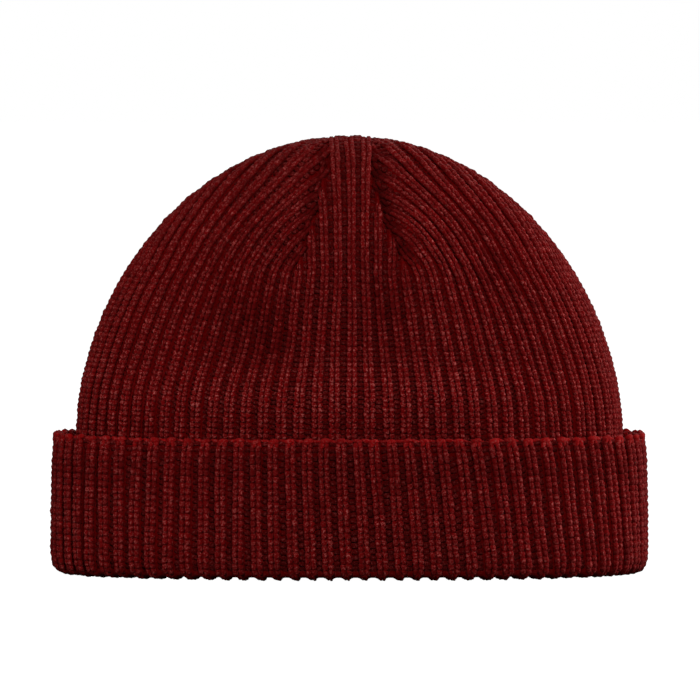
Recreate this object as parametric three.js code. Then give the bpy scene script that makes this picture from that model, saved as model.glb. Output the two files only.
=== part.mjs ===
// A cuffed beanie in chunky rib knit, standing on its turned-up cuff, in millimetres.
// +Z is up, the front faces -Y, and the origin lies under the middle of the rim.
// The hat is one knitted tube: a domed crown shaped by six darts, whose lower skirt runs down inside
// the cuff, and the cuff itself, which folds under the skirt and turns up round the outside.
import * as THREE from "three";

// Crown: oval plan and dome
const HALF_WIDTH = 101.5; // crown at the cuff's top edge, outside
const HALF_DEPTH = 60.5;
const PLAN_EXPONENT = 2.3; // a little squarer than an ellipse, as knit that was stored flat
const DOME_BASE = 51; // height where the dome begins
const DOME_RISE = 112;
const DOME_EXPONENT = 1.87; // of the dome's outline seen from the front
const SKIRT_BOTTOM = 6;
const SKIRT_TOP = DOME_BASE - 5; // behind the cuff's edge, where the skirt's outside turns plain
const SKIRT_FLARE = 3; // how much wider the skirt is at its bottom than at the dome's base

// Knit: ribs, grooves and wall
const RIBS_PER_QUARTER = 21;
const CUFF_STRETCH = 0.095; // the cuff's ribs are this much wider at the sides, and narrower in front
// The same for the crown's ribs: at its base, and how much more by a height in degrees up the dome
const CROWN_STRETCH = { base: -0.054, gain: 0.121, until: 58 };
const CROWN_TURN = 0.0084; // quarters by which the crown's ribs sit to the right of the cuff's
const CREST_HALF = 0.29; // half of a rib's flat crest, in rib pitches
const GROOVE_DEPTH = 1.8;
const WALL = 4.8; // from the outer crests to the inner crests
const INNER_GROOVE_DEPTH = 1.2;
const FIT_GAP = 0.3; // between the skirt and the cuff

// Darts: six lines of decreases, where the ribs of two panels meet. Four lie beside the narrow front
// and back panels, and one runs up the middle of each side.
const DART_START = 36; // degrees up the dome
const FRONT_RIBS = { low: 4.5, top: 1.3 }; // half the front panel's width, in ribs
const DART_CURVE = 3.65; // how quickly the front panel narrows above the start
const SIDE_LOSS = { ribs: 10.9, curve: 1.1 }; // ribs that end at a side's dart on their way to the top
// Below about this height the ribs narrow as the dome does, above it they keep their width. They pass
// from one to the other between two heights.
const GATHERING = { from: 34.8, low: 33, high: 40 };
const TOP_PITCH_GAIN = { front: 0.3, side: 0.4 }; // the ribs widen this much towards the top
const GAIN_REACH = { front: 1, side: 0.7 }; // share of the way up from the darts' start to their widest
const DART_DEPTH = 2.6;
const DART_FADE = 0.25; // share of the way to the top over which the darts grow to their depth
const CLEAR_OF_DART = { outer: 0.2, inner: 0.25 }; // nothing is nearer a dart than this, in ribs

// How far the cuff's ribs lean from its top edge to its fold: all one way, and out towards the sides
const LEAN = { twist: 2.5, fan: 3 };

// Heights of the crown's rows, in degrees up the dome from its base to near the top
const OUTER_ROWS = [0, 13, 26, 36, 43, 50, 57, 63, 69, 75, 80, 85];
const INNER_ROWS = [0, 19, 36, 50, 62, 73, 82];

// Soft dents that the knit keeps: place round the rim in quarters from the front (towards the right),
// height up the dome in degrees, reach each way and depth
const DENTS = [
  { round: 3.62, up: 24, roundReach: 0.16, upReach: 13, depth: 1.6 },
  { round: 0.52, up: 33, roundReach: 0.14, upReach: 15, depth: 1.3 },
  { round: 1.7, up: 28, roundReach: 0.18, upReach: 14, depth: 1.5 },
  { round: 2.45, up: 30, roundReach: 0.15, upReach: 13, depth: 1.3 },
];

const LIP_TOP = SKIRT_BOTTOM - FIT_GAP;

// The cuff's section, from its lip inside the hat, under the fold and up the outside to its free edge.
// out is the distance outside the crown at the dome's base; crest and groove are two lines of the knit.
const CUFF_SECTION = [
  { name: "lip", crest: { out: -1.8, z: LIP_TOP }, groove: { out: -0.6, z: LIP_TOP } },
  { name: "lip_round", crest: { out: -0.9, z: 1.8 }, groove: { out: 0.1, z: 2.8 } },
  { name: "rest_inner", crest: { out: 1.1, z: 0 }, groove: { out: 1.6, z: 1.5 } },
  { name: "rest_outer", crest: { out: 5.6, z: 0 }, groove: { out: 5.1, z: 1.5 } },
  { name: "heel", crest: { out: 8.5, z: 2.6 }, groove: { out: 6.9, z: 3.6 } },
  { name: "wall_low", crest: { out: 9.5, z: 9 }, groove: { out: 7.7, z: 9.4 } },
  { name: "wall_high", crest: { out: 8.9, z: 45 }, groove: { out: 7.1, z: 44.6 } },
  { name: "edge_outer", crest: { out: 7.9, z: 51 }, groove: { out: 6.5, z: 50.6 } },
  { name: "edge_top", crest: { out: 5.4, z: 53 }, groove: { out: 4.8, z: 52.3 } },
];
// The rest of the section lies against the skirt and is smooth: the free edge's inner side,
// the cuff's hidden face and the shelf that the skirt stands on.
const CUFF_HIDDEN_SIDE = [
  { name: "edge_inner", out: 2.4, z: 51.6 },
  { name: "hidden_top", out: 1.6, z: 48 },
  { name: "hidden_low", out: SKIRT_FLARE + FIT_GAP, z: SKIRT_BOTTOM + 4 },
  { name: "shelf", out: SKIRT_FLARE + FIT_GAP, z: LIP_TOP },
];

const DEGREE = Math.PI / 180;
const QUARTERS = 4;
const RIM_RIBS = QUARTERS * RIBS_PER_QUARTER;
const SAME_PLACE = 1e-9; // quarters

// The plan curve, one quarter of a superellipse from the front to the side, measured along its length

const ARC_STEPS = 600;

function planPoint(angle, halfWidth, halfDepth) {
  const power = 2 / PLAN_EXPONENT;
  return [halfWidth * Math.sin(angle) ** power, halfDepth * Math.cos(angle) ** power];
}

function measureQuarter() {
  const lengths = [0];
  let [x, y] = planPoint(0, HALF_WIDTH, HALF_DEPTH);
  for (let i = 1; i <= ARC_STEPS; i++) {
    const [nextX, nextY] = planPoint((i / ARC_STEPS) * 90 * DEGREE, HALF_WIDTH, HALF_DEPTH);
    lengths.push(lengths[i - 1] + Math.hypot(nextX - x, nextY - y));
    [x, y] = [nextX, nextY];
  }
  return lengths;
}

const QUARTER_LENGTHS = measureQuarter();
const QUARTER = QUARTER_LENGTHS[ARC_STEPS];

// The superellipse's own angle at a share of the quarter's length, from 0 at the front to 1 at the side.
function angleAtShare(share) {
  const wanted = Math.min(Math.max(share, 0), 1) * QUARTER;
  let i = QUARTER_LENGTHS.findIndex((length) => length >= wanted);
  i = Math.max(i, 1);
  const [low, high] = [QUARTER_LENGTHS[i - 1], QUARTER_LENGTHS[i]];
  return ((i - 1 + (wanted - low) / (high - low)) / ARC_STEPS) * 90 * DEGREE;
}

// How far a place round the rim is from another, in quarters: 0 front, 1 right, 2 back, 3 left.
function quartersFrom(place, round) {
  const half = QUARTERS / 2;
  return ((((round - place + half) % QUARTERS) + QUARTERS) % QUARTERS) - half;
}

// A point of an oval with the crown's plan. The ribs are widened towards the sides by the stretch.
function ovalPoint(round, halfWidth, halfDepth, z, stretch) {
  const fromFront = quartersFrom(0, round);
  const towardsSide = 1 - Math.abs(1 - Math.abs(fromFront));
  const share = towardsSide - (stretch / Math.PI) * Math.sin(Math.PI * towardsSide);
  const [x, y] = planPoint(angleAtShare(share), halfWidth, halfDepth);
  return [Math.sign(fromFront) * x, Math.abs(fromFront) < 1 ? -y : y, z];
}

// The crown's surface

function crownStretch(up) {
  const share = Math.min(up / CROWN_STRETCH.until, 1);
  return CROWN_STRETCH.base + CROWN_STRETCH.gain * Math.sin(share * 90 * DEGREE);
}

function dentAt(round, up) {
  return DENTS.reduce((sum, dent) => {
    const roundApart = quartersFrom(dent.round, round) / dent.roundReach;
    const upApart = (up - dent.up) / dent.upReach;
    return sum + dent.depth * Math.exp(-(roundApart ** 2) - upApart ** 2);
  }, 0);
}

// A point of the dome, out millimetres outside its crests, up degrees from its base to its top.
function domePoint(round, up, out) {
  const offset = out - dentAt(round, up);
  const ring = Math.cos(up * DEGREE);
  const rise = Math.sin(up * DEGREE) ** (2 / DOME_EXPONENT);
  return ovalPoint(
    round + CROWN_TURN,
    (HALF_WIDTH + offset) * ring,
    (HALF_DEPTH + offset) * ring,
    DOME_BASE + (DOME_RISE + offset) * rise,
    crownStretch(up),
  );
}

// A point of the skirt, which flares from the dome's base down to its bottom.
function skirtPoint(round, z, out) {
  const drop = (DOME_BASE - z) / (DOME_BASE - SKIRT_BOTTOM);
  const offset = out + SKIRT_FLARE * drop;
  const turned = round + CROWN_TURN;
  return ovalPoint(turned, HALF_WIDTH + offset, HALF_DEPTH + offset, z, crownStretch(0));
}

// A share from 0 to 1 that starts and ends gently.
function smoothStep(value) {
  const share = Math.min(Math.max(value, 0), 1);
  return share * share * (3 - 2 * share);
}

// The ribs: the width of one in quarters, half the front panel's width in ribs, and how many ribs have
// ended at a side's dart, at a height up the dome. closing runs from 0 at the darts' start to 1 at the top.
function ribLayout(up) {
  const closing = Math.min(Math.max((up - DART_START) / (90 - DART_START), 0), 1);
  const widening = (panel) => {
    const reached = Math.min(closing / GAIN_REACH[panel], 1);
    return 1 + TOP_PITCH_GAIN[panel] * Math.sin(reached * 90 * DEGREE) ** 2;
  };
  const gathered = Math.cos(GATHERING.from * DEGREE) / Math.cos(up * DEGREE);
  const passed = smoothStep((up - GATHERING.low) / (GATHERING.high - GATHERING.low));
  const share = (1 + (gathered - 1) * passed) / RIBS_PER_QUARTER;
  const spread = FRONT_RIBS.low - FRONT_RIBS.top;
  return {
    closing,
    front: FRONT_RIBS.top + spread * (1 - closing) ** DART_CURVE,
    ended: SIDE_LOSS.ribs * closing ** SIDE_LOSS.curve,
    frontShare: share * widening("front"),
    sideShare: share * widening("side"),
  };
}

// The six panels in their order round the rim. A panel runs between two rib numbers, which are counted
// from place: the middle of the front and the back, and the darts of the two sides.
function panelsAt(up) {
  const { front, frontShare, ended, sideShare } = ribLayout(up);
  const left = ended + (1 - front * frontShare) / sideShare;
  const middle = (place) => ({ place, share: frontShare, from: -front, to: front });
  const before = (side) => ({ place: side + ended * sideShare, share: sideShare, from: -left, to: -ended });
  const after = (side) => ({ place: side - ended * sideShare, share: sideShare, from: ended, to: left });
  return [middle(0), before(1), after(1), middle(2), before(3), after(3)];
}

// Whether a panel's end lies in a side's dart, where rib 0 stands until the dart begins.
function atSideDart(panel, at) {
  return Math.abs(at) === Math.min(Math.abs(panel.from), Math.abs(panel.to)) && panel.from !== -panel.to;
}

// A panel's line: its ends, which lie in the darts, and the entries between that keep clear of them
function panelLine(panel, entries, clear, end) {
  const kept = entries.filter((entry) => entry.at > panel.from + clear && entry.at < panel.to - clear);
  return [end(panel.from), ...kept, end(panel.to)];
}

function ribsOf(panel) {
  const first = Math.floor(panel.from);
  return Array.from({ length: Math.ceil(panel.to) - first + 1 }, (_, i) => first + i);
}

// Rib numbers of a panel's outer line: each rib has two shoulders, and a groove lies between ribs.
function outerLine(panel) {
  const line = ribsOf(panel).flatMap((rib) => [
    { at: rib - CREST_HALF, groove: false },
    { at: rib + CREST_HALF, groove: false },
    { at: rib + 0.5, groove: true },
  ]);
  const end = (at) => ({ at, groove: !atSideDart(panel, at), dart: true });
  return panelLine(panel, line, CLEAR_OF_DART.outer, end);
}

// The inner face: its crests lie behind the outer grooves.
function innerLine(panel) {
  const line = ribsOf(panel).flatMap((rib) => [
    { at: rib, groove: true },
    { at: rib + 0.5, groove: false },
  ]);
  return panelLine(panel, line, CLEAR_OF_DART.inner, (at) => ({ at, groove: atSideDart(panel, at) }));
}

// The skirt is plain, with one entry for each rib.
function plainLine(panel) {
  const line = ribsOf(panel).map((rib) => ({ at: rib }));
  return panelLine(panel, line, CLEAR_OF_DART.inner, (at) => ({ at }));
}

// A skin is a list of points and triangles, made by joining one row of points to the next

class Skin {
  points = [];
  triangles = [];

  add(point) {
    this.points.push(...point);
    return this.points.length / 3 - 1;
  }

  // Joins two lines of {at, id}, following their rib coordinates. The face shows on the outside when
  // the second line is above the first one. Lines may share their end points.
  join(first, second) {
    let i = 0;
    let j = 0;
    while (i < first.length - 1 || j < second.length - 1) {
      const stepFirst =
        j === second.length - 1 || (i < first.length - 1 && first[i + 1].at <= second[j + 1].at);
      const corners = [first[i].id, stepFirst ? first[i + 1].id : second[j + 1].id, second[j].id];
      if (new Set(corners).size === 3) this.triangles.push(...corners);
      if (stepFirst) i++;
      else j++;
    }
  }

  joinRows(first, second) {
    first.forEach((line, n) => this.join(line, second[n]));
  }

  mesh(name, material) {
    const geometry = new THREE.BufferGeometry();
    geometry.setAttribute("position", new THREE.Float32BufferAttribute(this.points, 3));
    geometry.setIndex(this.triangles);
    geometry.computeVertexNormals();
    const mesh = new THREE.Mesh(geometry, material);
    mesh.name = name;
    return mesh;
  }
}

// A row of the crown: six panels' lines, whose ends are shared. pointOf gives a point from the place
// round the rim, in quarters, and the line's entry.
function crownRow(skin, panels, lineOf, pointOf) {
  const lines = panels.map((panel) =>
    lineOf(panel).map((entry) => ({ ...entry, round: panel.place + entry.at * panel.share })),
  );
  for (const line of lines)
    for (const entry of line.slice(0, -1)) entry.id = skin.add(pointOf(entry.round, entry));
  lines.forEach((line, n) => {
    line[line.length - 1].id = lines[(n + 1) % lines.length][0].id;
  });
  return lines;
}

// How far a rib has moved along the rim at a height, in quarters, by the cuff's lean.
function leanAt(round, z) {
  const drop = Math.min(Math.max((DOME_BASE - z) / DOME_BASE, 0), 1);
  const along = LEAN.twist + LEAN.fan * Math.sin(round * 180 * DEGREE);
  return (along * drop) / QUARTER;
}

// Closes the hole in a row at the top: each point of its front half is joined to the one behind it.
function closeTop(skin, lines, facesUp) {
  const ring = lines.flatMap((line) => line.slice(0, -1));
  const half = (towardsRight) =>
    ring
      .map((entry) => ({ id: entry.id, at: towardsRight(entry.round) }))
      .filter((entry) => Math.abs(entry.at) < 1 + SAME_PLACE)
      .sort((a, b) => a.at - b.at);
  const front = half((round) => quartersFrom(0, round));
  const back = half((round) => -quartersFrom(2, round));
  if (facesUp) skin.join(front, back);
  else skin.join(back, front);
}

function makeCrown(material) {
  const skin = new Skin();
  const basePanels = panelsAt(0);
  const outer = [SKIRT_BOTTOM, SKIRT_TOP].map((z) =>
    crownRow(skin, basePanels, plainLine, (round) => skirtPoint(round, z, 0)),
  );
  for (const up of OUTER_ROWS)
    outer.push(
      crownRow(skin, panelsAt(up), outerLine, (round, entry) => {
        const depth = entry.groove ? GROOVE_DEPTH : 0;
        const fade = entry.dart ? Math.min(ribLayout(up).closing / DART_FADE, 1) : 0;
        return domePoint(round, up, -depth - (DART_DEPTH - depth) * fade);
      }),
    );

  const innerOut = (entry) => (entry.groove ? INNER_GROOVE_DEPTH : 0) - WALL;
  const inner = [...INNER_ROWS].reverse().map((up) =>
    crownRow(skin, panelsAt(up), innerLine, (round, entry) => domePoint(round, up, innerOut(entry))),
  );
  for (const z of [DOME_BASE / 2, SKIRT_BOTTOM])
    inner.push(
      crownRow(skin, basePanels, innerLine, (round, entry) =>
        skirtPoint(round + leanAt(round, z), z, innerOut(entry)),
      ),
    );

  outer.slice(1).forEach((row, n) => skin.joinRows(outer[n], row));
  closeTop(skin, outer[outer.length - 1], true);
  closeTop(skin, inner[0], false);
  inner.slice(1).forEach((row, n) => skin.joinRows(inner[n], row));
  skin.joinRows(inner[inner.length - 1], outer[0]);
  return skin.mesh("crown", material);
}

function makeCuff(material) {
  const skin = new Skin();
  const row = (line, place) => {
    const made = line.map((entry) => {
      const { out, z } = place(entry);
      const round = (entry.at + 0.5) / RIBS_PER_QUARTER;
      const leaned = round + leanAt(round, z);
      const point = ovalPoint(leaned, HALF_WIDTH + out, HALF_DEPTH + out, z, CUFF_STRETCH);
      return { ...entry, id: skin.add(point) };
    });
    return [...made, { at: RIM_RIBS + made[0].at, id: made[0].id }];
  };
  const ribs = Array.from({ length: RIM_RIBS }, (_, rib) => rib);
  const ribbed = ribs.flatMap((rib) => [
    { at: rib - CREST_HALF, part: "crest" },
    { at: rib + CREST_HALF, part: "crest" },
    { at: rib + 0.5, part: "groove" },
  ]);
  const smooth = ribs.map((rib) => ({ at: rib }));

  const rows = [
    ...CUFF_SECTION.map((step) => row(ribbed, (entry) => step[entry.part])),
    ...CUFF_HIDDEN_SIDE.map((step) => row(smooth, () => step)),
  ];
  rows.forEach((line, n) => skin.join(line, rows[(n + 1) % rows.length]));
  return skin.mesh("cuff", material);
}

function redWool() {
  return new THREE.MeshStandardMaterial({ color: 0x6e0d0e, roughness: 0.95, metalness: 0 });
}

const beanie = new THREE.Group();
beanie.add(makeCrown(redWool()), makeCuff(redWool()));

export default beanie;
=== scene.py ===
# A cuffed beanie in chunky rib knit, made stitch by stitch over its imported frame. Sizes are in metres,
# +Z is up and the front faces -Y. Every length of yarn that shows is a small mesh of its own.
import math

import bpy
import numpy as np
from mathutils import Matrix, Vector


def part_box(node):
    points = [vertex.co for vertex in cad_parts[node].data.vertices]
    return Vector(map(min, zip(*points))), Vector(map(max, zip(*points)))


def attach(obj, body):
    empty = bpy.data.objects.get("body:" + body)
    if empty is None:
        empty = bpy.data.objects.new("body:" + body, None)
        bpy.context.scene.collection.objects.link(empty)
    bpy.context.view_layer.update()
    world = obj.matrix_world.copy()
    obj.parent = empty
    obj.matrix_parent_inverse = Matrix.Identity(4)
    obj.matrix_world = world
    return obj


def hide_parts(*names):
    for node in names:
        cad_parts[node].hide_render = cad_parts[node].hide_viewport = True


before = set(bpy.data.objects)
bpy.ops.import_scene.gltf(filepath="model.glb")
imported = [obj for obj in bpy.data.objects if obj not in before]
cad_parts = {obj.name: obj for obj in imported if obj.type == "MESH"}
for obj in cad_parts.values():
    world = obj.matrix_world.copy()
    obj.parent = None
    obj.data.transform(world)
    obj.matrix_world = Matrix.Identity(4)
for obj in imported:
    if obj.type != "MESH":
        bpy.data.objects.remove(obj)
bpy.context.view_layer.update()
mm = 0.001


# Camera: straight in front of the hat through a long lens, a little above its rim.
view_width = 0.2594  # what the picture shows across the hat's middle
camera_distance = 6.0
camera_elevation = math.radians(2.0)
camera_aim = Vector((0.0002, 0, 0.0827))

camera = bpy.data.objects.new("camera", bpy.data.cameras.new("camera"))
bpy.context.scene.collection.objects.link(camera)
camera.data.sensor_width = 36
camera.data.lens = 36 * camera_distance / view_width
camera.data.clip_end = 40
towards_camera = Vector((0, -math.cos(camera_elevation), math.sin(camera_elevation)))
camera.location = camera_aim + camera_distance * towards_camera
camera.rotation_euler = (math.pi / 2 - camera_elevation, 0, 0)
bpy.context.scene.camera = camera


# The crown: the domed body of the hat, one tube of thick wool in rib knit. Six darts of decreased
# stitches draw it in to the top, where three ribs run over from front to back. Its lower edge hangs
# down inside the cuff, to which it is joined at the rim.
cuff_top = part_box("cuff")[1][2]
crown_corner = Vector(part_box("crown")[1])
skirt_flare = 3 * mm  # how far the skirt spreads down to its edge
skirt_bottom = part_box("crown")[0][2]
half_width = crown_corner.x - skirt_flare
half_depth = crown_corner.y - skirt_flare
plan_exponent, dome_exponent = 2.3, 1.87  # 2 is an ellipse, and more is squarer
dome_base = cuff_top - 2 * mm
dome_rise = crown_corner.z - dome_base + 0.1 * mm
wall = 4.8 * mm
ribs_per_quarter = 21
# How much wider the ribs are at the sides than at the front: at the dome's base, what is added up the
# dome, and the degrees up where all of it is
crown_stretch_base, crown_stretch_gain, crown_stretch_until = -0.054, 0.121, 58
crown_turn = 0.0084  # quarters by which the crown's ribs sit to the right of the cuff's
dart_start = 36  # degrees up
front_ribs_low, front_ribs_top = 4.5, 1.3  # from a narrow panel's middle to its dart, below and on top
dart_curve, left_dart_curve = 3.1, 2.35  # the dart on the front's left spreads sooner
side_loss, side_loss_curve = 10.9, 1.1  # ribs that end at a side's dart on their way to the top
gather_from, gather_low, gather_high = 34.8, 33, 40  # degrees up: narrower from here, setting in between
front_gain, side_gain = 0.3, 0.4  # how much wider the ribs get towards the top
front_gain_reach, side_gain_reach = 1.0, 0.7
rib_crest, groove_floor = 1.0 * mm, 3.1 * mm  # how far the ground lies in from the outermost yarn
crown_hidden = 6  # degrees below the dome's base that show behind the cuff's edge

# The panels between the darts: the narrow ones count their ribs from their middle, those of the sides
# from the side's dart, to the left or to the right. place is in quarters: 0 front, 1 right, 2 back, 3 left.
panels = [
    {"name": "front", "place": 0, "way": 0},
    {"name": "right_front", "place": 1, "way": -1},
    {"name": "right_back", "place": 1, "way": 1},
    {"name": "back", "place": 2, "way": 0},
    {"name": "left_back", "place": 3, "way": -1},
    {"name": "left_front", "place": 3, "way": 1},
]

# Soft folds that the knit keeps: place round the hat in quarters, degrees up, reach each way, and how
# far the knit draws in, or swells out where the depth is below nought
soft_folds = [
    {"turn": 3.71, "up": 21, "turn_reach": 0.12, "up_reach": 8, "depth": 2.4 * mm},
    {"turn": 3.74, "up": 22, "turn_reach": 0.05, "up_reach": 6, "depth": 0.9 * mm},
    {"turn": 3.6, "up": 32, "turn_reach": 0.14, "up_reach": 8, "depth": 1.4 * mm},
    {"turn": 0.11, "up": 29, "turn_reach": 0.08, "up_reach": 11, "depth": 2.2 * mm},
    {"turn": 0.3, "up": 45, "turn_reach": 0.1, "up_reach": 9, "depth": -1.8 * mm},
    {"turn": 0.54, "up": 37, "turn_reach": 0.09, "up_reach": 8, "depth": 2.0 * mm},
    {"turn": 3.95, "up": 10, "turn_reach": 0.55, "up_reach": 6, "depth": -3.2 * mm},
    {"turn": 1.7, "up": 28, "turn_reach": 0.18, "up_reach": 14, "depth": 1.5 * mm},
    {"turn": 2.45, "up": 30, "turn_reach": 0.15, "up_reach": 13, "depth": 1.3 * mm},
]
fold_painted_shading = -0.9 / mm  # painted shade where the knit draws in, and painted light where it swells


def fold_depth(turn, up):
    """How far the soft folds draw the knit in."""
    return sum(
        fold["depth"]
        * np.exp(-((quarters_from(fold["turn"], turn) / fold["turn_reach"]) ** 2))
        * np.exp(-(((up - fold["up"]) / fold["up_reach"]) ** 2))
        for fold in soft_folds
    )


def plan_curve(angle, width, depth):
    """A quarter of the hat's outline seen from above, by the angle from its front."""
    power = 2 / plan_exponent
    return width * np.sin(angle) ** power, depth * np.cos(angle) ** power


arc_angles = np.linspace(0, math.pi / 2, 2001)
arc_steps = np.hypot(*np.diff(plan_curve(arc_angles, half_width, half_depth)))
arc_lengths = np.concatenate([[0], np.cumsum(arc_steps)])
quarter = arc_lengths[-1]


def quarters_from(place, turn):
    """How far a turn is from a place, both in quarters: 0 front, 1 right, 2 back, 3 left."""
    return (turn - place + 2) % 4 - 2


def oval(turn, width, depth, z, stretch):
    """Points round the hat; the stretch widens the ribs towards the sides."""
    from_front = quarters_from(0, turn)
    share = 1 - np.abs(1 - np.abs(from_front))
    share = share - stretch / math.pi * np.sin(math.pi * share)
    x, y = plan_curve(np.interp(share * quarter, arc_lengths, arc_angles), width, depth)
    y = np.where(np.abs(from_front) < 1, -y, y)
    return np.stack(np.broadcast_arrays(np.sign(from_front) * x, y, z), axis=-1)


def dome(turn, up, out):
    """Points of the crown, out from its rib crests. Below the dome's base, where up is negative, the
    skirt hangs down and flares."""
    rise = np.radians(np.maximum(up, 0))
    drop = -np.radians(np.minimum(up, 0)) * dome_rise
    offset = out - fold_depth(turn, up) + skirt_flare * drop / (dome_base - skirt_bottom)
    ring = np.cos(rise)
    z = dome_base - drop + (dome_rise + offset) * np.sin(rise) ** (2 / dome_exponent)
    width, depth = (half_width + offset) * ring, (half_depth + offset) * ring
    stretching = np.sin(np.clip(up / crown_stretch_until, 0, 1) * math.pi / 2)
    stretch = crown_stretch_base + crown_stretch_gain * stretching
    return oval(turn + crown_turn, width, depth, z, stretch)


def up_over(x, y):
    """Degrees up the dome of places in plan."""
    ring = np.abs(x / half_width) ** plan_exponent + np.abs(y / half_depth) ** plan_exponent
    return np.degrees(np.arccos(np.minimum(ring ** (1 / plan_exponent), 1)))


def dome_over(x, y, out):
    """Points of the dome's top, by their place in plan."""
    rise = np.radians(up_over(x, y))
    z = dome_base + (dome_rise + out) * np.sin(rise) ** (2 / dome_exponent)
    return np.stack(np.broadcast_arrays(x, y, z), axis=-1)


def smooth_step(value):
    """From 0 to 1 with soft ends, as the value goes from 0 to 1."""
    value = np.clip(value, 0, 1)
    return value * value * (3 - 2 * value)


def panel_layout(panel, up):
    """At each height: a rib's width in quarters, the lowest rib number of the panel and the highest.
    The front and back are narrow, the sides wide."""
    closing = np.clip((up - dart_start) / (90 - dart_start), 0, 1)
    front_widening, side_widening = (
        np.sin(np.minimum(closing / reach, 1) * math.pi / 2) ** 2
        for reach in (front_gain_reach, side_gain_reach)
    )
    gathered = math.cos(math.radians(gather_from)) / np.maximum(np.cos(np.radians(up)), 1e-4)
    gathering = smooth_step((up - gather_low) / (gather_high - gather_low))
    kept = (1 + (gathered - 1) * gathering) / ribs_per_quarter
    left, right = (
        front_ribs_top + (front_ribs_low - front_ribs_top) * (1 - closing) ** curve
        for curve in (left_dart_curve, dart_curve)
    )
    front_share = kept * (1 + front_gain * front_widening)
    if panel["way"] == 0:
        return front_share, -left if panel["name"] == "front" else -right, right
    front = left if panel["name"] == "left_front" else right
    side_share = kept * (1 + side_gain * side_widening)
    ended = side_loss * closing**side_loss_curve
    return side_share, ended, ended + (1 - front * front_share) / side_share


def rib_turn(panel, at, up):
    """The place round the hat, in quarters, of a rib's number in a panel."""
    share, first, _ = panel_layout(panel, up)
    if panel["way"] == 0:
        return panel["place"] + at * share
    return panel["place"] + panel["way"] * (at - first) * share


# The creases of the darts beside the front and back panels, and the shallower ones up the sides
crease_depth, side_crease_depth = 2.2 * mm, 0.6 * mm
crease_shift = 0.6 * mm  # the crease lies beside the dart's line, in the side's panel
crease_reach, crease_roll = 1.4 * mm, 3.4 * mm  # on the narrow panel's side, and on the wide one's
crease_lead, crease_growth = 3, 12  # degrees: it begins below the dart's start, and deepens upwards
crease_fade, fade_from, fade_over = 0.85, 68, 14  # the share of it that is lost, from and over degrees
left_softness = 0.7  # the share of the depth that the creases on the left have
left_even_reach, right_even_reach = 18 * mm, 6 * mm  # how far beside a crease the grooves are shallow
crease_painted_shade = -5.5  # painted shade down the crease


def dart_valley(panel, at, up):
    """How deep the darts' creases draw in a panel's knit at a rib number, and how far they even out
    the relief of a wide panel's ribs, from 0 to 1."""
    share, first, last = panel_layout(panel, up)
    pitch = share * quarter * np.cos(np.radians(np.maximum(up, 0)))
    begun = smooth_step((up - dart_start + crease_lead) / crease_growth)
    strength = begun * (1 - crease_fade * smooth_step((up - fade_from) / fade_over))
    if panel["way"] == 0:
        edge = -np.minimum(last - at, at - first) * pitch - crease_shift
        softer = np.where(at < 0, left_softness, 1)
        side = 0
        evened = np.zeros_like(edge)
    else:
        on_left = panel["place"] == 3
        edge = (last - at) * pitch - crease_shift
        softer = left_softness if on_left else 1
        side = side_crease_depth * np.exp(-(((at - first) * pitch / crease_roll) ** 2))
        even_reach = left_even_reach if on_left else right_even_reach
        evened = np.exp(-np.maximum(edge, 0) / even_reach) * begun
    reach = np.where(edge < 0, crease_reach, crease_roll)
    near = np.exp(-((edge / reach) ** 2))
    return strength * (crease_depth * softer * near + side), evened


fill_start = 66  # degrees up, where the grooves begin to get shallow
groove_filling, bar_filling = 1.7 * mm, 2.3 * mm  # how far the ground and the bars rise in them
rib_filling, rib_sinking = 0.25 * mm, 0.35 * mm  # and how far the ribs' ground rises, and their yarn sinks
painted_shade_lift = 4.0  # painted light that takes the deep wool's painted shade off the bars of a shallow groove, as bright as the ribs


def groove_fill(up):
    """The grooves between ribs are shallow where the top is stretched: 0 below, 1 at the top."""
    return smooth_step((up - fill_start) / (90 - fill_start))


low_rows, more_at_top = 1.95, 1.1  # millimetres from row to row low down, and what the top adds
rows_open_from, rows_open_over = 16, 34  # degrees up


def crown_row_pitch(up):
    """Rows are close together above the cuff and open out towards the top."""
    return (low_rows + more_at_top * smooth_step((up - rows_open_from) / rows_open_over)) * mm


wander_waves = (4.1, 0.035), (9.3, 0.022), (17.0, 0.012)  # each one's rate by the radian, size in ribs


def wobble(seed, up):
    """The small wander of a rib from its even place, in ribs."""
    phases = np.random.default_rng(seed).uniform(0, 2 * math.pi, len(wander_waves))
    return sum(
        size * np.sin(np.radians(up) * rate + phase) for (rate, size), phase in zip(wander_waves, phases)
    )


strip_start = 80  # degrees up, where the top ribs leave the front and run over to the back
side_end = 85  # degrees up, where the last rib of the side panels ends
rib_end_room, groove_end_room = 0.32, 0.4  # a narrow panel's lines end this far before a dart, in ribs
side_end_room, side_groove_end_room = -0.1, 0.0  # and a wide panel's
side_start_room = -0.2  # so far may a rib lie over the line of the dart up its side
low_groove_room = -0.1  # and a groove over the line of a dart below its start
most_narrow, most_wide = 5, 17  # ribs on each side of a narrow panel's middle, and across a wide one
line_points, over_points = 900, 60
end_width, end_taper = 0.4, 1.8  # a rib narrows to this share of its width over its last rows


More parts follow.
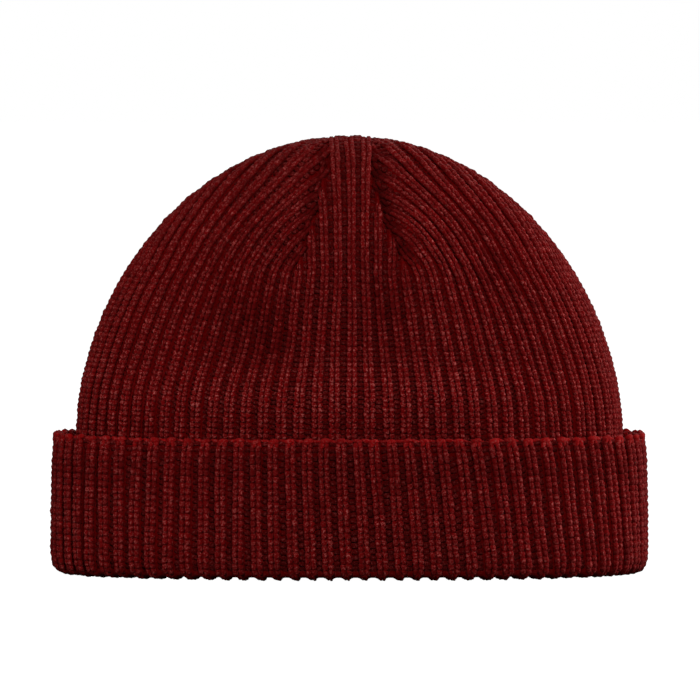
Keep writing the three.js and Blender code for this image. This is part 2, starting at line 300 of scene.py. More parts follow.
def crown_lines(panel, shift):
    """The lines of a panel's ribs, or half a rib to the side its grooves: for each one its points,
    points a tenth of a rib to the right of them, and at each point how many rows of stitches lie below,
    how open the rib is, and its tone, which carries painted shade in the creases and folds, painted
    light where the folds swell, and painted light that takes the deep wool's painted shade off the bars
    of shallow grooves."""
    narrow = panel["way"] == 0
    up = np.linspace(-crown_hidden, strip_start if narrow else side_end, line_points)
    share, first, last = panel_layout(panel, up)
    if narrow:
        end_room = groove_end_room if shift else rib_end_room
        numbers = range(-most_narrow, most_narrow)
    else:
        end_room = side_groove_end_room if shift else side_end_room
        first_side = 0 if panel["way"] > 0 else 1 - int(2 * shift)
        numbers = range(first_side, most_wide - int(2 * shift))
    for number in numbers:
        at = number + shift
        room = np.minimum(last - at, at - first) if narrow else last - at
        kept = (room > end_room) | (narrow and shift == 0 and abs(number) <= 1)
        if not narrow:
            kept &= at - first > side_start_room
        kept[up < dart_start] = kept[0] or (shift > 0 and room[0] > low_groove_room)
        if not kept[0]:
            continue
        kept = np.logical_and.accumulate(kept)
        wandering = at + wobble(100 * panels.index(panel) + 2 * (number + 20) + int(2 * shift), up)
        filling = bar_filling if shift else -rib_sinking
        valley, evened = dart_valley(panel, at, up)
        lifted = np.maximum(groove_fill(up), evened if shift else 0)
        out = filling * lifted - valley
        turn = rib_turn(panel, wandering, up)
        line = dome(turn, up, out)[kept]
        beside = dome(turn + 0.1 * share, up, out)[kept]
        steps = np.linalg.norm(np.diff(line, axis=0), axis=1)
        rows = np.concatenate([[0], np.cumsum(steps / crown_row_pitch(up[kept][1:]))])
        rows -= np.interp(0, up[kept], rows)
        runs_over = kept.all() and narrow
        if runs_over and panel["place"] == 0:
            y = np.linspace(line[-1, 1], -line[-1, 1], over_points)[1:]
            filled = groove_fill(up_over(line[-1, 0], y)) - groove_fill(strip_start)
            over = dome_over(line[-1, 0], y, out[-1] + filling * filled)
            beside = np.concatenate([beside, over + beside[-1] - line[-1]])
            line = np.concatenate([line, over])
            steps = np.linalg.norm(np.diff(line[-over_points:], axis=0), axis=1)
            rows = np.concatenate([rows, rows[-1] + np.cumsum(steps) / crown_row_pitch(90)])
        opened = np.ones_like(rows)
        if narrow and not runs_over:
            opened = end_width + (1 - end_width) * smooth_step((rows[-1] - rows) / end_taper)
        # The bars of shallow grooves get painted light that takes off the deep wool's painted shade; the
        # creases and folds get painted shade, and the swells painted light.
        bar_tone = painted_shade_lift if shift else 0.0
        shade = np.full_like(rows, bar_tone)
        darker = crease_painted_shade * valley / crease_depth + fold_painted_shading * fold_depth(turn, up)
        shade[: kept.sum()] = (bar_tone * lifted + darker)[kept]
        yield line, beside, rows, opened, shade


usual_pitch = quarter / ribs_per_quarter
least_width, most_width = 0.8, 1.35  # of a stitch against the usual
last_room, last_back = 0.7, 0.35  # with more than this of a row left over, one more stitch, so far back


def points_after(rows, points, wanted):
    """Points of a line where the wanted number of rows lies below them."""
    return np.stack([np.interp(wanted, rows, points[:, axis]) for axis in range(3)], axis=-1)


def stitch_frames(lines, phase):
    """A frame for every stitch on the lines: its place, the ways across, along and out of the knit;
    then the stitch's width against the usual, the row's height there, and its tone."""
    frames = []
    widths = []
    heights = []
    tones = []
    for line, beside, rows, opened, shade in lines:
        wanted = np.arange(math.ceil(rows[0] + 0.5), rows[-1] - 0.5 - phase) + phase
        if rows[-1] - wanted[-1] > last_room:
            wanted = np.append(wanted, rows[-1] - last_back)
        place = points_after(rows, line, wanted)
        along = points_after(rows, line, wanted + 0.5) - points_after(rows, line, wanted - 0.5)
        height = np.linalg.norm(along, axis=1, keepdims=True)
        along = along / height
        out = np.cross(points_after(rows, beside, wanted) - place, along)
        tenth = np.linalg.norm(out, axis=1, keepdims=True)
        out = out / tenth
        frames.append(np.stack([place, np.cross(along, out), along, out], axis=1))
        heights.append(height[:, 0])
        width = np.clip(10 * tenth[:, 0] / usual_pitch, least_width, most_width)
        widths.append(width * np.interp(wanted, rows, opened))
        tones.append(np.interp(wanted, rows, shade))
    return [np.concatenate(parts) for parts in (frames, widths, heights, tones)]


def grain(sides, levels):
    """The mesh of one short length of yarn along Y, closed at both ends: for each point its level
    from 0 to 1 and its angle, then faces, and for each face corner the place round and along."""
    t = np.repeat(levels, sides)
    angle = np.tile(np.arange(sides) / sides, len(levels))
    t, angle = np.append(t, [0, 1]), np.append(angle, [0, 0])
    first, last = sides * len(levels), sides * len(levels) + 1
    faces = []
    corners = []
    for side in range(sides):
        after = (side + 1) % sides
        u, v = side / sides, (side + 1) / sides
        for ring in range(len(levels) - 1):
            low, high = ring * sides, (ring + 1) * sides
            faces.append([low + side, low + after, high + after, high + side])
            corners += [(u, levels[ring]), (v, levels[ring]), (v, levels[ring + 1]), (u, levels[ring + 1])]
        top = (len(levels) - 1) * sides
        faces.append([first, after, side])
        corners += [((u + v) / 2, 0), (v, levels[0]), (u, levels[0])]
        faces.append([top + side, top + after, last])
        corners += [(u, levels[-1]), (v, levels[-1]), ((u + v) / 2, 1)]
    return t, 2 * math.pi * angle, faces, np.array(corners)


def thickness(t, at_ends):
    """Of a length of yarn: 1 in its middle, less towards its ends, and closed at both."""
    return np.where((t > 0) & (t < 1), at_ends + (1 - at_ends) * np.sin(math.pi * t), 0)


def knit_piece(name, mesh, map_name, places, tones):
    """Makes a piece of a mesh, with the places of its face corners and the tones of its points."""
    mesh.shade_smooth()
    uv = mesh.uv_layers.new(name=map_name)
    uv.data.foreach_set("uv", places.astype(np.float32).ravel())
    tone = mesh.attributes.new("tone", "FLOAT", "POINT")
    tone.data.foreach_set("value", tones.astype(np.float32))
    piece = bpy.data.objects.new(name, mesh)
    bpy.context.scene.collection.objects.link(piece)
    return piece


yarn_sides, yarn_levels = 6, (0.16, 0.5, 0.84)
swell_spread = 0.06  # how unevenly thick the lengths of yarn are
place_spread = [0.05 * mm, 0.05, 0.06 * mm]  # how far they lie off: across, along in rows, and out
tilt_spread = 0.09 * mm  # and how far they tilt


def lengths_of_yarn(name, frames, sizes, tones, shape, seed):
    """One mesh of many lengths of yarn. shape gives, for the grain's levels, the middle line and the
    radius; sizes holds each stitch's scale across, along and out of the knit."""
    rng = np.random.default_rng(seed)
    t, angle, faces, corners = grain(yarn_sides, yarn_levels)
    centre, radius = shape(t)
    count = len(frames)
    swell = rng.normal(1, swell_spread, (count, 1))
    local = np.empty((count, len(t), 3))
    local[..., 0] = centre[0] + radius * np.cos(angle) * swell
    local[..., 1] = centre[1]
    local[..., 2] = centre[2] + radius * np.sin(angle) * swell
    local += rng.normal(0, place_spread, (count, 1, 3))
    tilt = rng.normal(0, tilt_spread, (count, 1))
    local[..., 0] += tilt * (2 * t - 1)
    local *= sizes[:, None, :]
    place, across, along, out = (frames[:, None, i] for i in range(4))
    points = place + across * local[..., 0:1] + along * local[..., 1:2] + out * local[..., 2:3]

    mesh = bpy.data.meshes.new(name)
    starts = np.cumsum([0] + [len(face) for face in faces])
    corner_points = np.concatenate(faces)
    base = np.arange(count)[:, None]
    mesh.vertices.add(count * len(t))
    mesh.loops.add(count * len(corner_points))
    mesh.polygons.add(count * len(faces))
    mesh.vertices.foreach_set("co", points.astype(np.float32).ravel())
    mesh.loops.foreach_set("vertex_index", (base * len(t) + corner_points).astype(np.int32).ravel())
    loop_starts = base * len(corner_points) + starts[:-1]
    mesh.polygons.foreach_set("loop_start", loop_starts.astype(np.int32).ravel())
    mesh.update(calc_edges=True)
    tones = tones + rng.normal(0, 1, count)
    return knit_piece(name, mesh, "yarn", np.tile(corners, (count, 1)), np.repeat(tones, len(t)))


leg_radius, leg_ends = 1.08 * mm, 0.76  # and how thick its ends are against that
leg_length = 1.45  # rows
leg_dip = 0.45 * mm  # how far its ends dip
leg_rise = 0.1 * mm  # the right legs stand out by this, and the left ones lie back


def leg(offset, lean, rise):
    """One leg of a knit stitch, left (-) or right (+) of the rib's middle. Its top leans to the left
    by lean, its ends dip under the stitches above and below, and its length is in rows."""

    def shape(t):
        x = offset - lean * (t - 0.5)
        y = leg_length * (t - 0.5)
        z = rise - leg_radius - leg_dip * (2 * t - 1) ** 2
        return (x, y, z), leg_radius * thickness(t, leg_ends)

    return shape


def knit_legs(name, stitches, offset, lean_left, lean_right, seed):
    """The left legs of a panel's stitches, and the right ones, as two pieces."""
    frames, widths, heights, tones = stitches
    sizes = np.stack([widths, heights, np.ones_like(heights)], axis=1)
    left, right = leg(-offset, lean_left, -leg_rise), leg(offset, lean_right, leg_rise)
    return [
        lengths_of_yarn(f"{name}_left_legs", frames, sizes, tones, left, seed),
        lengths_of_yarn(f"{name}_right_legs", frames, sizes, tones, right, seed + 1),
    ]


bar_length = 3.1 * mm
bar_radius, bar_ends = 0.66 * mm, 0.7
bar_depth = 3.2 * mm  # how deep in the groove the bar's middle lies
bar_climb, bar_bend = 0.5 * mm, 0.3 * mm  # how far its ends come out, and up
bar_height = 0.75 / mm  # its section's height against its depth, by the row's height


def purl_bar(t):
    """The bar of yarn across a groove between two ribs; its ends climb the ribs' sides."""
    x = bar_bend * (2 * t - 1) ** 2
    z = -bar_depth + bar_climb * (2 * t - 1) ** 2
    return (x, t - 0.5, z), bar_radius * thickness(t, bar_ends)


def purl_bars(name, grooves, seed):
    """The bars in a panel's grooves, as one piece; they lie across, so their frames are turned."""
    frames, widths, heights, tones = grooves
    turned = frames[:, [0, 2, 1, 3]] * np.array([1, -1, 1, 1])[None, :, None]
    sizes = np.stack([bar_height * heights, bar_length * widths, np.ones_like(heights)], axis=1)
    return lengths_of_yarn(f"{name}_purl_bars", turned, sizes, tones, purl_bar, seed)


profile_middle, profile_swing = 0.27, 0.62  # of the wave that is cut flat for the grooves' floors


def rib_profile(at):
    """1 on a rib's rounded crest, 0 on the floor of a groove, by the rib number."""
    return smooth_step(profile_middle + profile_swing * np.cos(2 * math.pi * at))


def ring_mesh(name, rows, uvs, tones):
    """A closed skin through rows of points, all of one length and each a ring, joined in a loop."""
    points = np.concatenate(rows)
    count = len(rows[0])
    index = np.arange(len(rows) * count).reshape(len(rows), count)
    index = np.concatenate([index, index[:1]])
    index = np.concatenate([index, index[:, :1]], axis=1)
    faces = np.stack([index[:-1, :-1], index[:-1, 1:], index[1:, 1:], index[1:, :-1]], axis=-1)
    mesh = bpy.data.meshes.new(name)
    mesh.from_pydata(points.tolist(), [], faces.reshape(-1, 4).tolist())
    corner_points = np.empty(len(mesh.loops), dtype=np.int32)
    mesh.loops.foreach_get("vertex_index", corner_points)
    return knit_piece(name, mesh, "knit", np.concatenate(uvs)[corner_points], np.concatenate(tones))


groove_painted_shade = -1.2  # painted shade of the ground on the floor of a groove
points_per_rib = 8
ground_turns = np.arange(4 * ribs_per_quarter * points_per_rib) / (ribs_per_quarter * points_per_rib)
skirt_levels = [-23.2, -12, -crown_hidden]  # degrees up of the rings of points down the skirt
ground_top = 88.5  # degrees up, where the top ribs close over it
skirt_inset = 0.5 * mm
inner_relief = 1.2 * mm  # how far the backs of the ribs stand in from the inside's hollows
inner_crease = 0.4  # the share of a crease's depth that shows inside
map_rows = 0.8  # rows of the knit's map for each degree up


def crown_ground():
    """The knit under the visible yarn, hollow, with the backs of the ribs on its inside."""
    turns = ground_turns
    below_darts, round_darts = np.linspace(0, 30, 10), np.linspace(33, ground_top, 66)
    outer_levels = np.concatenate([skirt_levels, below_darts, round_darts])
    inner_levels = np.concatenate([skirt_levels, np.linspace(0, ground_top, 28)])
    rows = []
    uvs = []
    tones = []
    for inside in (False, True):
        for level in inner_levels[::-1] if inside else outer_levels:
            up = np.full_like(turns, level)
            room = np.full_like(turns, -np.inf)
            at = np.zeros_like(turns)
            valley = np.zeros_like(turns)
            evened = np.zeros_like(turns)
            for panel in panels:
                share, first, last = panel_layout(panel, up)
                offset = quarters_from(panel["place"], turns) / share
                number = offset if panel["way"] == 0 else panel["way"] * offset + first
                here = np.minimum(last - number, number - first)
                at = np.where(here > room, number, at)
                drawn, even = dart_valley(panel, number, up)
                valley = np.where(here > room, drawn, valley)
                evened = np.where(here > room, even, evened)
                room = np.maximum(room, here)
            crest = rib_profile(at)
            if inside:
                out = -wall + inner_relief * crest
            elif level < -crown_hidden:
                out = np.full_like(turns, -skirt_inset)
            else:
                groove = groove_filling * np.maximum(groove_fill(up), evened) - groove_floor
                rib = rib_filling * groove_fill(up) - rib_crest
                out = groove + (rib - groove) * crest
            out = out - valley * (inner_crease if inside else 1)
            rows.append(dome(turns, up, out))
            uvs.append(np.stack([at, up * map_rows], axis=-1))
            # The ground's tone: painted shade in the creases and folds, painted light where the folds swell,
            # and painted shade on the grooves' floors where they are deep.
            shade = crease_painted_shade * valley / crease_depth + fold_painted_shading * fold_depth(turns, up)
            sunken = (1 - crest) * (1 - np.maximum(groove_fill(up), evened))
            tones.append(groove_painted_shade * sunken + shade)
    return ring_mesh("crown_ground", rows, uvs, tones)


def new_group(name, inputs, outputs):
    """A shader node group with its named sockets."""
    group = bpy.data.node_groups.new(name, "ShaderNodeTree")
    for label, kind, value in inputs:
        socket = group.interface.new_socket(label, in_out="INPUT", socket_type=kind)
        socket.default_value = value
    for label, kind in outputs:
        group.interface.new_socket(label, in_out="OUTPUT", socket_type=kind)
    return group, group.nodes.new("NodeGroupInput"), group.nodes.new("NodeGroupOutput")


def node(tree, kind, **values):
    """Adds a node; a value named after one of its sockets sets or links it, any other is a setting."""
    made = tree.nodes.new(kind)
    for label, value in values.items():
        if hasattr(made, label):
            setattr(made, label, value)
            continue
        socket = made.inputs[int(label[1:])] if label[0] == "_" else made.inputs[label.replace("_", " ")]
        if isinstance(value, bpy.types.NodeSocket):
            tree.links.new(value, socket)
        else:
            socket.default_value = value
    return made


def maths(tree, operation, *values, use_clamp=False):
    """Adds a step of arithmetic and gives its result."""
    given = {f"_{index}": value for index, value in enumerate(values)}
    return node(tree, "ShaderNodeMath", operation=operation, use_clamp=use_clamp, **given).outputs[0]


drift_scale, drift_size = 70.0, 3.0  # the dye's slow change over the hat
fleck_scale, fleck_from, fleck_full = 1500.0, 0.5, 0.66  # pale fibres, which also break the painted crest highlight into specks
crest_narrowness = 1.5  # how far the painted highlight keeps to the middle of a stitch's crest
crest_share = 0.35  # how much stronger the painted highlight is on yarn of a higher tone


def yarn_colour_group():
    """Wool's colour: uneven between lengths of yarn, darker or paler by their tone, which carries painted
    shade, with paler fibres scattered over it, and a painted highlight of the same pale colour on the
    outer side of each stitch's crest."""
    group, given, result = new_group(
        "yarn_colour",
        [
            ("Dye", "NodeSocketColor", (0.1, 0.005, 0.005, 1)),
            ("Pale Fibre And Highlight", "NodeSocketColor", (0.2, 0.02, 0.02, 1)),
            ("Unevenness", "NodeSocketFloat", 0.1),
            ("Fibre Amount", "NodeSocketFloat", 0.08),
            ("Crest Highlight", "NodeSocketFloat", 0.18),
        ],
        [("Color", "NodeSocketColor")],
    )
    place = node(group, "ShaderNodeTexCoord").outputs["Object"]
    tone = node(group, "ShaderNodeAttribute", attribute_name="tone").outputs["Fac"]
    drift = node(group, "ShaderNodeTexNoise", Vector=place, Scale=drift_scale, Detail=2.0).outputs["Fac"]
    drift = maths(group, "SUBTRACT", drift, 0.5)
    drift = maths(group, "MULTIPLY_ADD", drift, drift_size, tone)
    amount = maths(group, "MULTIPLY_ADD", drift, given.outputs["Unevenness"], 1.0)
    dyed = node(group, "ShaderNodeVectorMath", operation="SCALE", _0=given.outputs["Dye"])
    group.links.new(amount, dyed.inputs["Scale"])
    fleck = node(group, "ShaderNodeTexNoise", Vector=place, Scale=fleck_scale, Detail=3.0).outputs["Fac"]
    fleck = node(group, "ShaderNodeMapRange", Value=fleck, From_Min=fleck_from, From_Max=fleck_full)
    # The painted highlight: paler on the outer side of the middle of each length of yarn, stronger on yarn of
    # a higher tone.
    map_place = node(group, "ShaderNodeUVMap", uv_map="yarn").outputs["UV"]
    parts = node(group, "ShaderNodeSeparateXYZ", Vector=map_place).outputs
    along = maths(group, "SINE", maths(group, "MULTIPLY", parts["Y"], math.pi))
    along = maths(group, "POWER", along, crest_narrowness)
    around = maths(group, "SINE", maths(group, "MULTIPLY", parts["X"], 2 * math.pi))
    crest = maths(group, "MULTIPLY", along, around, use_clamp=True)
    uneven = maths(group, "MULTIPLY_ADD", tone, crest_share, 1.0)
    crest = maths(group, "MULTIPLY", crest, uneven)
    pale = maths(group, "MULTIPLY_ADD", crest, given.outputs["Crest Highlight"], given.outputs["Fibre Amount"])
    pale = maths(group, "MULTIPLY", pale, fleck.outputs[0], use_clamp=True)
    mixed = node(group, "ShaderNodeMix", data_type="RGBA")
    group.links.new(pale, mixed.inputs["Factor"])
    group.links.new(dyed.outputs[0], mixed.inputs[6])
    group.links.new(given.outputs["Pale Fibre And Highlight"], mixed.inputs[7])
    group.links.new(mixed.outputs[2], result.inputs["Color"])
    return group


fibre_scale, fibre_height = 2600.0, 0.8  # fine fibres, and their height against a ply's


def ply_relief_group():
    """The relief of a length of yarn: its plies twist round it, and fine fibres run along them."""
    group, given, result = new_group(
        "ply_relief",
        [("Plies", "NodeSocketFloat", 2.0), ("Twist", "NodeSocketFloat", 1.0)],
        [("Height", "NodeSocketFloat")],
    )
    map_place = node(group, "ShaderNodeUVMap", uv_map="yarn").outputs["UV"]
    parts = node(group, "ShaderNodeSeparateXYZ", Vector=map_place).outputs
    turned = maths(group, "MULTIPLY_ADD", parts["Y"], given.outputs["Twist"], parts["X"])
    wave = maths(group, "MULTIPLY", turned, given.outputs["Plies"])
    wave = maths(group, "ABSOLUTE", maths(group, "SINE", maths(group, "MULTIPLY", wave, math.pi)))
    place = node(group, "ShaderNodeTexCoord").outputs["Object"]
    fibre = node(group, "ShaderNodeTexNoise", Vector=place, Scale=fibre_scale, Detail=2.0).outputs["Fac"]
    height = maths(group, "MULTIPLY_ADD", fibre, fibre_height, wave)
    group.links.new(height, result.inputs["Height"])
    return group


yarn_colour = yarn_colour_group()
ply_relief = ply_relief_group()
wool_red = (0.133, 0.0008, 0.0012, 1)
wool_painted_shade = (0.08, 0.0004, 0.0006, 1)  # a darker copy of the red: painted shade for the bars down in the grooves
wool_painted_light = (0.215, 0.0015, 0.002, 1)  # a paler copy of the red: painted light for the free edge
# the colour of the pale fibres, and of the painted highlight on the crests
wool_pale_fibre_and_highlight = (0.42, 0.09, 0.08, 1)
crest_highlight, deep_crest_highlight, edge_crest_highlight = 0.48, 0.16, 0.25  # how strong the painted highlight on the crests of the lengths of yarn is
ply_height = 0.12 * mm  # how far the yarn's plies and fibres stand out
yarn_gloss = 0.06  # what little its fibres shine


def wool_material(name, dye, crest, gloss):
    """Matt wool of one dye; crest is how strong the painted highlight on the crests of its lengths of yarn
    is.
    """
    material = bpy.data.materials.new(name)
    material.use_nodes = True
    tree = material.node_tree
    shader = tree.nodes["Principled BSDF"]
    shader.inputs["Roughness"].default_value = 0.88
    shader.inputs["Specular IOR Level"].default_value = gloss
    shader.inputs["Sheen Weight"].default_value = 0.03
    shader.inputs["Sheen Roughness"].default_value = 0.4
    shader.inputs["Sheen Tint"].default_value = (1, 0.16, 0.13, 1)
    colour = node(tree, "ShaderNodeGroup", node_tree=yarn_colour)
    colour.inputs["Dye"].default_value = dye
    colour.inputs["Pale Fibre And Highlight"].default_value = wool_pale_fibre_and_highlight
    colour.inputs["Crest Highlight"].default_value = crest
    tree.links.new(colour.outputs["Color"], shader.inputs["Base Color"])
    height = node(tree, "ShaderNodeGroup", node_tree=ply_relief)
    bump = node(tree, "ShaderNodeBump", Distance=ply_height, Height=height.outputs["Height"])
    tree.links.new(bump.outputs["Normal"], shader.inputs["Normal"])
    return material


def dress(piece, node_name, material):
    """Puts a piece on the hat in place of a frame node."""
    piece.data.materials.append(material)
    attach(piece, "root")
    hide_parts(node_name)


# The ribs' wool has a painted highlight on its crests; the purl bars' is a darker copy of it for painted
# shade.
crown_wool = wool_material("crown_wool", wool_red, crest_highlight, yarn_gloss)
crown_wool_painted_shade = wool_material("crown_wool_painted_shade", wool_painted_shade, deep_crest_highlight, yarn_gloss)
crown_wool_ground = wool_material("crown_wool_ground", wool_red, 0.0, 0.0)
crown_legs = {"offset": 1.02 * mm, "lean_left": 0.6 * mm, "lean_right": 0.1 * mm}
dress(crown_ground(), "crown", crown_wool_ground)
for number, panel in enumerate(panels):
    name = "crown_" + panel["name"]
    stitches = stitch_frames(crown_lines(panel, 0.0), 0.0)
    for piece in knit_legs(name, stitches, seed=10 * number, **crown_legs):
        dress(piece, "crown", crown_wool)
    grooves = stitch_frames(crown_lines(panel, 0.5), 0.5)
    dress(purl_bars(name, grooves, seed=10 * number + 5), "crown", crown_wool_painted_shade)


# The cuff: the same tube of knit folded up round the outside, so it is double at the rim. Its ribs
# stand half a rib beside the crown's and show the knit's other side, upside down. Its free edge, the
# first row that was knitted, ends it as a thick rolled chain.
cuff_stretch = 0.095
cuff_row_pitch = 2.3 * mm
lean_twist, lean_fan = 2.5 * mm, 3 * mm  # how far the ribs lean all round at the rim, and to the sides
# The section's rib crests, from inside the rim to the free edge: distance outside the crown, height
cuff_section = [
    {"name": "lip", "out": -1.8 * mm, "z": 5.7 * mm},
    {"name": "lip_round", "out": -0.9 * mm, "z": 1.8 * mm},
    {"name": "rest_inner", "out": 1.1 * mm, "z": 0.35 * mm},
    {"name": "rest_outer", "out": 5.6 * mm, "z": 0.35 * mm},
    {"name": "heel", "out": 8.5 * mm, "z": 2.8 * mm},
    {"name": "wall_low", "out": 9.5 * mm, "z": 9 * mm},
    {"name": "wall_high", "out": 8.9 * mm, "z": 45 * mm},
    {"name": "edge_outer", "out": 7.9 * mm, "z": 51 * mm},
]
# The side that lies against the crown, from the free edge down to the lip: distance outside it, height
hidden_side = [(2.2 * mm, 50 * mm), (1.6 * mm, 47 * mm), (3.3 * mm, 10 * mm), (3.3 * mm, 5.7 * mm)]


def smooth_line(points, steps):
    """A smooth curve through the points, with so many steps between neighbours."""
    points = np.array(points)
    slopes = np.gradient(points, axis=0)
    t = np.linspace(0, 1, steps, endpoint=False)[:, None]
    curve = []
    for start, end, leaving, arriving in zip(points, points[1:], slopes, slopes[1:]):
        chord = np.linalg.norm(end - start)
        leaving = leaving / np.linalg.norm(leaving) * chord
        arriving = arriving / np.linalg.norm(arriving) * chord
        curve.append(
            (2 * t**3 - 3 * t**2 + 1) * start
            + (t**3 - 2 * t**2 + t) * leaving
            + (3 * t**2 - 2 * t**3) * end
            + (t**3 - t**2) * arriving
        )
    return np.concatenate(curve + [points[-1:]])


section = smooth_line([(point["out"], point["z"]) for point in cuff_section], steps=24)
section_slope = np.gradient(section, axis=0)
section_slope /= np.linalg.norm(section_slope, axis=1, keepdims=True)
section_normal = np.stack([section_slope[:, 1], -section_slope[:, 0]], axis=1)
section_steps = np.linalg.norm(np.diff(section, axis=0), axis=1)
section_length = np.concatenate([[0], np.cumsum(section_steps)])
section_rows = (section_length - section_length[-1]) / cuff_row_pitch


def cuff_point(turn, out, z):
    """A point of the cuff; its ribs lean a little on their way down, and out towards the sides."""
    drop = np.clip((dome_base - z) / dome_base, 0, 1)
    lean = (lean_twist + lean_fan * np.sin(turn * math.pi)) * drop / quarter
    return oval(turn + lean, half_width + out, half_depth + out, z, cuff_stretch)


fold_low, fold_over = 0.6 * mm, 2.8 * mm  # heights over which the fold at the rim ends
edge_low, edge_over = 46.5 * mm, 4 * mm  # and over which the free edge begins


def at_fold(z):
    """1 round the fold at the rim, 0 higher up."""
    return 1 - smooth_step((z - fold_low) / fold_over)


def at_edge(z):
    """1 at the free edge, 0 a little below it."""
    return smooth_step((z - edge_low) / edge_over)


rim_painted_shade, rim_low, rim_over = -1.3, 1 * mm, 8 * mm  # painted shade, darker towards the rim
neck_painted_shade, neck_height, neck_reach = -1.1, 40 * mm, 6 * mm  # and painted shade on the knit that draws in under the free edge


def cuff_shade(z):
    """The painted shade of the cuff's yarn at a height, apart from its grooves: towards the rim and under the
    free edge.
    """
    rim = 1 - smooth_step((z - rim_low) / rim_over)
    neck = np.exp(-(((z - neck_height) / neck_reach) ** 2))
    return rim_painted_shade * rim + neck_painted_shade * neck


edge_groove = 1.7 * mm  # how deep the grooves are where they end at the free edge
fold_narrowing = 0.45  # the share of a line's width that is lost round the fold
cuff_seed = 5000
wander_radius = 0.1  # the cuff's lines wander as those of a dome of this radius


def cuff_lines(shift):
    """The lines of the cuff's grooves, or half a rib to the side its ribs, as crown_lines gives them."""
    up = np.degrees(section[:, 1] / wander_radius)
    for number in range(4 * ribs_per_quarter):
        wander = wobble(cuff_seed + 2 * number + int(2 * shift), up)
        turn = (number + shift + wander) / ribs_per_quarter
        out, z = section[:, 0], section[:, 1]
        if shift == 0:
            fill = (groove_floor - edge_groove) * at_edge(z)
            out, z = out + fill * section_normal[:, 0], z + fill * section_normal[:, 1]
        line = cuff_point(turn, out, z)
        beside = cuff_point(turn + 0.1 / ribs_per_quarter, out, z)
        opened = 1 - fold_narrowing * at_fold(section[:, 1])
        yield line, beside, section_rows, opened, cuff_shade(section[:, 1])


fold_inset, fold_groove = 0.4 * mm, 0.85 * mm  # how far the ground lies in round the fold, and in its grooves


def cuff_ground():
    """The knit under the cuff's visible yarn, and the smooth side that lies against the crown. Every
    third point of the section is enough for it."""
    turns = ground_turns
    crest = rib_profile(turns * ribs_per_quarter - 0.5)
    rows = []
    uvs = []
    tones = []
    # Each ring's tone is painted shade: on the grooves' floors, towards the rim and under the free edge; the
    # hidden side's grooves get the same painted shade.
    for (out, z), (normal_out, normal_z) in zip(section[::3], section_normal[::3]):
        inset = groove_floor + (rib_crest - groove_floor) * crest
        inset = inset + at_fold(z) * (fold_inset + fold_groove * (1 - crest) ** 2 - inset)
        inset = inset - at_edge(z) * (groove_floor - edge_groove) * (1 - crest)
        rows.append(cuff_point(turns, out - inset * normal_out, z - inset * normal_z))
        uvs.append(np.stack([turns * ribs_per_quarter, np.full_like(turns, z)], axis=-1))
        tones.append(groove_painted_shade * (1 - crest) + cuff_shade(z))
    for out, z in hidden_side:
        rows.append(cuff_point(turns, np.full_like(turns, out), np.full_like(turns, z)))
        uvs.append(np.stack([turns * ribs_per_quarter, np.full_like(turns, z)], axis=-1))
        tones.append(groove_painted_shade * (1 - crest))
    return ring_mesh("cuff_ground", rows, uvs, tones)


edge_middle = {"out": 6.4 * mm, "z": 51.2 * mm}
# The lengths of yarn along the free edge, for each rib: place across the pitch from the rib's middle,
# distance out and height from the edge's middle, slant in degrees, length in pitches, radius
edge_loops = [
    {"across": -0.13, "out": 0.8 * mm, "z": -1.2 * mm, "slant": 76, "length": 0.5, "radius": 0.9 * mm},
    {"across": 0.13, "out": 0.8 * mm, "z": -1.2 * mm, "slant": -76, "length": 0.5, "radius": 0.9 * mm},
    {"across": 0.0, "out": 0.6 * mm, "z": 0.2 * mm, "slant": 4, "length": 0.62, "radius": 1.2 * mm},
    {"across": 0.5, "out": -0.6 * mm, "z": 0.1 * mm, "slant": -9, "length": 0.72, "radius": 0.85 * mm},
    {"across": 0.5, "out": -1.6 * mm, "z": -0.6 * mm, "slant": 12, "length": 0.9, "radius": 0.9 * mm},
]
edge_spread = {"out": 0.15 * mm, "z": 0.2 * mm, "slant": 7, "radius": 0.09}  # how unevenly they lie


loop_bulge, loop_ends = 0.2, 0.6  # against its radius


def edge_loop(t):
    """A length of yarn that bulges out a little in its middle."""
    return (0 * t, t - 0.5, loop_bulge * np.sin(math.pi * t)), thickness(t, loop_ends)


def cuff_edge():
    """The free edge: a thick knot of loops on each rib, with a thin strand across each groove."""
    number = np.arange(4 * ribs_per_quarter)
    count = len(number)
    upright = np.tile([0.0, 0.0, 1.0], (count, 1))
    quarter_rib = 0.25 / ribs_per_quarter
    rng = np.random.default_rng(78)
    frames = []
    sizes = []
    for loop in edge_loops:
        turns = (number + 0.5 + loop["across"]) / ribs_per_quarter
        out = edge_middle["out"] + loop["out"] + rng.normal(0, edge_spread["out"], count)
        z = edge_middle["z"] + loop["z"] + rng.normal(0, edge_spread["z"], count)
        place = cuff_point(turns, out, z)
        level = cuff_point(turns + quarter_rib, out, z) - cuff_point(turns - quarter_rib, out, z)
        pitch = 2 * np.linalg.norm(level, axis=1, keepdims=True)  # level reaches over half a rib
        level = 2 * level / pitch
        outward = np.cross(level, upright)
        slant = np.radians(loop["slant"] + rng.normal(0, edge_spread["slant"], (count, 1)))
        along = np.cos(slant) * level + np.sin(slant) * upright
        frames.append(np.stack([place, np.cross(along, outward), along, outward], axis=1))
        radius = loop["radius"] * rng.normal(1, edge_spread["radius"], count)
        sizes.append(np.stack([radius, loop["length"] * pitch[:, 0], radius], axis=1))
    frames, sizes = np.concatenate(frames), np.concatenate(sizes)
    return lengths_of_yarn("cuff_free_edge", frames, sizes, 0, edge_loop, seed=77)


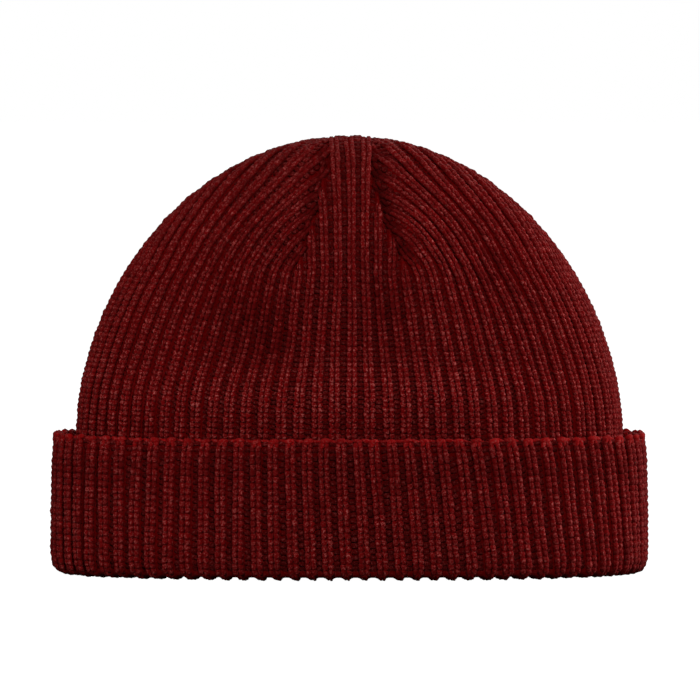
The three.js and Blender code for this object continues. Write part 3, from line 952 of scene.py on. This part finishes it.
# The free edge's wool is a paler copy for painted light, the purl bars' a darker copy for painted shade, and
# the ribs' wool has a painted highlight on its crests.
cuff_wool = wool_material("cuff_wool", wool_red, crest_highlight, yarn_gloss)
edge_wool_painted_light = wool_material("cuff_edge_wool_painted_light", wool_painted_light, edge_crest_highlight, yarn_gloss)
cuff_wool_painted_shade = wool_material("cuff_wool_painted_shade", wool_painted_shade, deep_crest_highlight, yarn_gloss)
cuff_wool_ground = wool_material("cuff_wool_ground", wool_red, 0.0, 0.0)
cuff_legs = {"offset": 1.04 * mm, "lean_left": 0.1 * mm, "lean_right": 0.3 * mm}
dress(cuff_edge(), "cuff", edge_wool_painted_light)
stitches = stitch_frames(cuff_lines(0.5), 0.0)
for piece in knit_legs("cuff", stitches, seed=60, **cuff_legs):
    dress(piece, "cuff", cuff_wool)
dress(cuff_ground(), "cuff", cuff_wool_ground)
grooves = stitch_frames(cuff_lines(0.0), 0.5)
dress(purl_bars("cuff", grooves, seed=65), "cuff", cuff_wool_painted_shade)


# The stage: a floor and surroundings that show white and give little light of their own, with broad
# soft lights: the main one in front from above, weaker ones low on the right and the left, and one
# behind for the back and the top's outline.
floor_mesh = bpy.data.meshes.new("floor")
floor_mesh.from_pydata([(-6, -4, 0), (6, -4, 0), (6, 8, 0), (-6, 8, 0)], [], [(0, 1, 2, 3)])
floor = bpy.data.objects.new("floor", floor_mesh)
bpy.context.scene.collection.objects.link(floor)
floor_paint = bpy.data.materials.new("floor_paint")
floor_paint.use_nodes = True
floor_shader = floor_paint.node_tree.nodes["Principled BSDF"]
floor_shader.inputs["Base Color"].default_value = (0.1, 0.1, 0.1, 1)
floor_shader.inputs["Roughness"].default_value = 0.9
floor_shader.inputs["Emission Color"].default_value = (1, 1, 1, 1)
in_view = node(floor_paint.node_tree, "ShaderNodeLightPath").outputs["Is Camera Ray"]
floor_paint.node_tree.links.new(in_view, floor_shader.inputs["Emission Strength"])
floor_mesh.materials.append(floor_paint)


def soft_light(name, place, size, power):
    """A broad square light that faces the hat."""
    light = bpy.data.objects.new(name, bpy.data.lights.new(name, "AREA"))
    light.data.energy = power
    light.data.size = size
    light.location = place
    light.rotation_euler = (camera_aim - Vector(place)).to_track_quat("-Z", "Y").to_euler()
    bpy.context.scene.collection.objects.link(light)


soft_light("front_light", place=(0.2, -2.2, 1.35), size=0.8, power=28)
soft_light("right_light", place=(1.6, 0.2, 0.45), size=0.5, power=23)
soft_light("left_light", place=(-1.5, -0.8, 0.3), size=0.6, power=7.5)
soft_light("back_light", place=(0.6, 2.3, 1.3), size=1.0, power=20)

world = bpy.data.worlds.new("surroundings")
bpy.context.scene.world = world
world.use_nodes = True
tree = world.node_tree
seen = node(tree, "ShaderNodeBackground", Color=(1, 1, 1, 1), Strength=1.0)
glow = node(tree, "ShaderNodeBackground", Color=(1, 1, 1, 1), Strength=0.18)
which = node(tree, "ShaderNodeLightPath").outputs["Is Camera Ray"]
surroundings = node(tree, "ShaderNodeMixShader", _0=which, _1=glow.outputs[0], _2=seen.outputs[0])
tree.links.new(surroundings.outputs[0], tree.nodes["World Output"].inputs["Surface"])
bpy.context.scene.view_settings.view_transform = "Standard"
